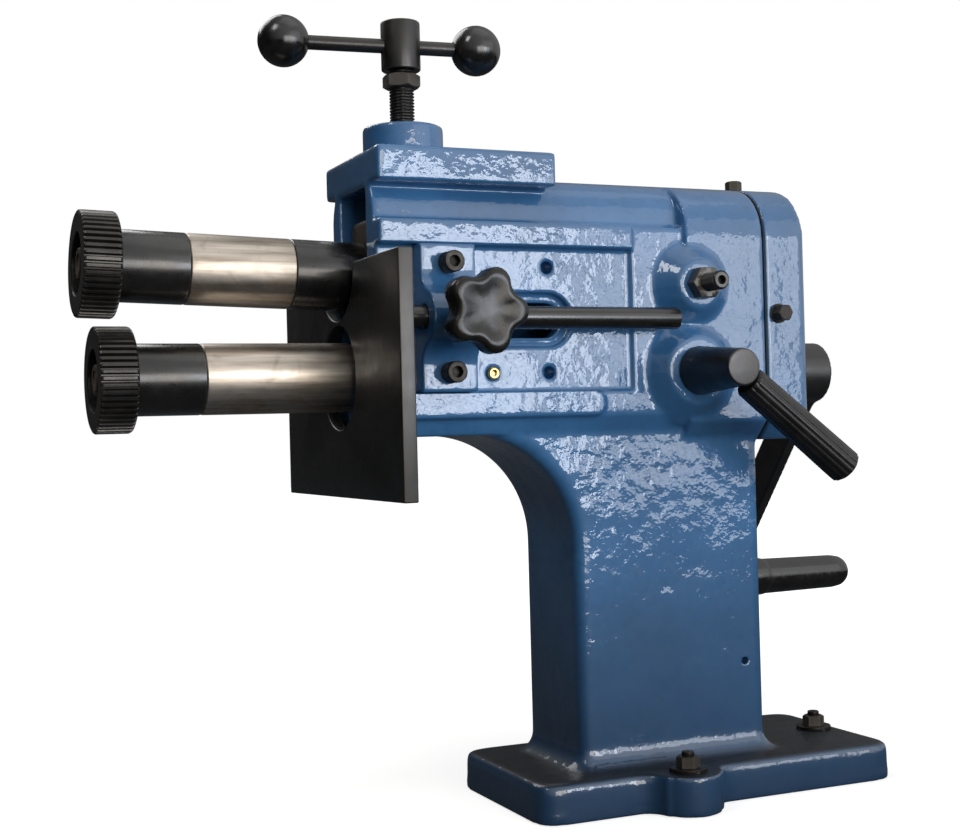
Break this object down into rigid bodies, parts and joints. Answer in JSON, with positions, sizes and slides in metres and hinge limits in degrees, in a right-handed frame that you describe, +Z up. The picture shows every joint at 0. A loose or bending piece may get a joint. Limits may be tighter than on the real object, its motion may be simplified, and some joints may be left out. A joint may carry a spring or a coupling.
{
  "type": "swaging jenny",
  "caption": "Hand cranked swaging machine: toothed rolls on geared shafts in a cast iron frame, with pressure screw, sliding guide plate and shift lever.",
  "frame": {"origin": "midway between the two ear bolt holes, on the base's underside", "axes": "+X along the lower shaft towards the crank, +Z up; the guide rod and shift lever are on the -Y side"},
  "size_m": [0.6328, 0.2612, 0.5035],
  "materials": {
    "blue_enamel": "gloss enamel over a rough casting",
    "black_steel": "black oxide, oiled",
    "bright_steel": "turned bright",
    "black_plastic": "moulded, semi gloss",
    "bronze": "machined",
    "brass": "polished",
    "cast_iron": "machined and oiled",
    "gasket": "matt"
  },
  "bodies": {
    "frame": {"casting": "blue_enamel", "rear_cover": "blue_enamel", "cover_gasket": "gasket", "cover_bolts": "black_steel", "guide_bracket": "blue_enamel", "bracket_screws": "black_steel", "oil_nipple": "brass", "lower_front_bush": "bronze", "lower_rear_bush": "bronze", "cover_bush": "bronze", "trunnion_screws": "black_steel", "trunnion_nuts": "black_steel", "lifting_springs": "bright_steel"},
    "shifter": {"shift_ring": "bright_steel"},
    "lower_spindle": {"lower_shaft": "bright_steel", "lower_roll": "black_steel", "lower_roll_nut": "black_steel", "lower_collar": "black_steel", "lower_sleeve": "bright_steel", "lower_spacer": "black_steel", "lower_gear": "bright_steel", "lower_gear_key": "bright_steel", "lower_gear_nut": "black_steel", "crank_arm": "black_steel", "crank_bolt": "black_steel", "crank_spindle": "bright_steel"},
    "handle": {"crank_grip": "black_plastic"},
    "rocker_arm": {"rocker": "cast_iron", "upper_front_bush": "bronze", "upper_rear_bush": "bronze"},
    "upper_spindle": {"upper_shaft": "bright_steel", "upper_roll": "black_steel", "upper_roll_nut": "black_steel", "upper_collar": "black_steel", "upper_sleeve": "bright_steel", "upper_rear_collar": "black_steel", "upper_gear": "bright_steel", "upper_gear_key": "bright_steel", "upper_gear_nut": "black_steel"},
    "pad": {"thrust_pad": "bright_steel"},
    "screw": {"pressure_screw": "black_steel"},
    "nut": {"lock_nut": "black_steel"},
    "bar": {"tommy_bar": "black_steel", "ball_knobs": "black_plastic"},
    "guide": {"guide_plate": "black_steel", "guide_rod": "black_steel"},
    "knob": {"star_knob": "black_plastic", "knob_stud": "black_steel"},
    "lever": {"lever_hub": "black_steel", "lever_grip": "black_plastic", "lever_circlip": "black_steel"}
  },
  "joints": [
    {"name": "lever_swing", "type": "hinge", "parent": "frame", "child": "lever", "pos_m": [0.024, 0, 0.278], "axis": [0, 1, 0], "range_deg": [-45, 45]},
    {"name": "shaft_shift", "type": "slide", "parent": "frame", "child": "shifter", "axis": [1, 0, 0], "range_m": [-0.0028, 0.0028]},
    {"name": "crank_spin", "type": "hinge", "parent": "shifter", "child": "lower_spindle", "pos_m": [0, 0, 0.278], "axis": [1, 0, 0], "continuous": true},
    {"name": "handle_spin", "type": "hinge", "parent": "lower_spindle", "child": "handle", "pos_m": [0.155, 0.12775, 0.12024], "axis": [1, 0, 0], "continuous": true},
    {"name": "rocker_tilt", "type": "hinge", "parent": "frame", "child": "rocker_arm", "pos_m": [0.025, 0, 0.334], "axis": [0, 1, 0], "range_deg": [-0.6, 0.97], "deforming": ["lifting_springs"]},
    {"name": "upper_spin", "type": "hinge", "parent": "rocker_arm", "child": "upper_spindle", "pos_m": [0.025, 0, 0.334], "axis": [0.9995, 0, -0.031], "continuous": true},
    {"name": "pad_travel", "type": "slide", "parent": "frame", "child": "pad", "axis": [0, 0, 1], "range_m": [-0.00183, 0.00299]},
    {"name": "screw_turn", "type": "hinge", "parent": "pad", "child": "screw", "pos_m": [-0.155, 0, 0.4], "axis": [0, 0, 1], "range_deg": [-330, 540]},
    {"name": "nut_travel", "type": "slide", "parent": "screw", "child": "nut", "axis": [0, 0, 1], "range_m": [-0.0215, 0.0025]},
    {"name": "bar_slide", "type": "slide", "parent": "screw", "child": "bar", "axis": [0.9945, -0.1045, 0], "range_m": [-0.0205, 0.0455]},
    {"name": "guide_slide", "type": "slide", "parent": "frame", "child": "guide", "axis": [1, 0, 0], "range_m": [-0.12, 0.0015]},
    {"name": "knob_turn", "type": "hinge", "parent": "frame", "child": "knob", "pos_m": [-0.15, -0.09, 0.3113], "axis": [0, -1, 0], "range_deg": [0, 360]}
  ],
  "couplings": [
    {"joint": "lever_swing", "follows": "shaft_shift", "rad_per_m": 277.78},
    {"joint": "upper_spin", "follows": "crank_spin", "ratio": -1},
    {"joint": "screw_turn", "follows": "pad_travel", "rad_per_m": 3141.6},
    {"joint": "rocker_tilt", "follows": "pad_travel", "rad_per_m": 5.5556}
  ]
}
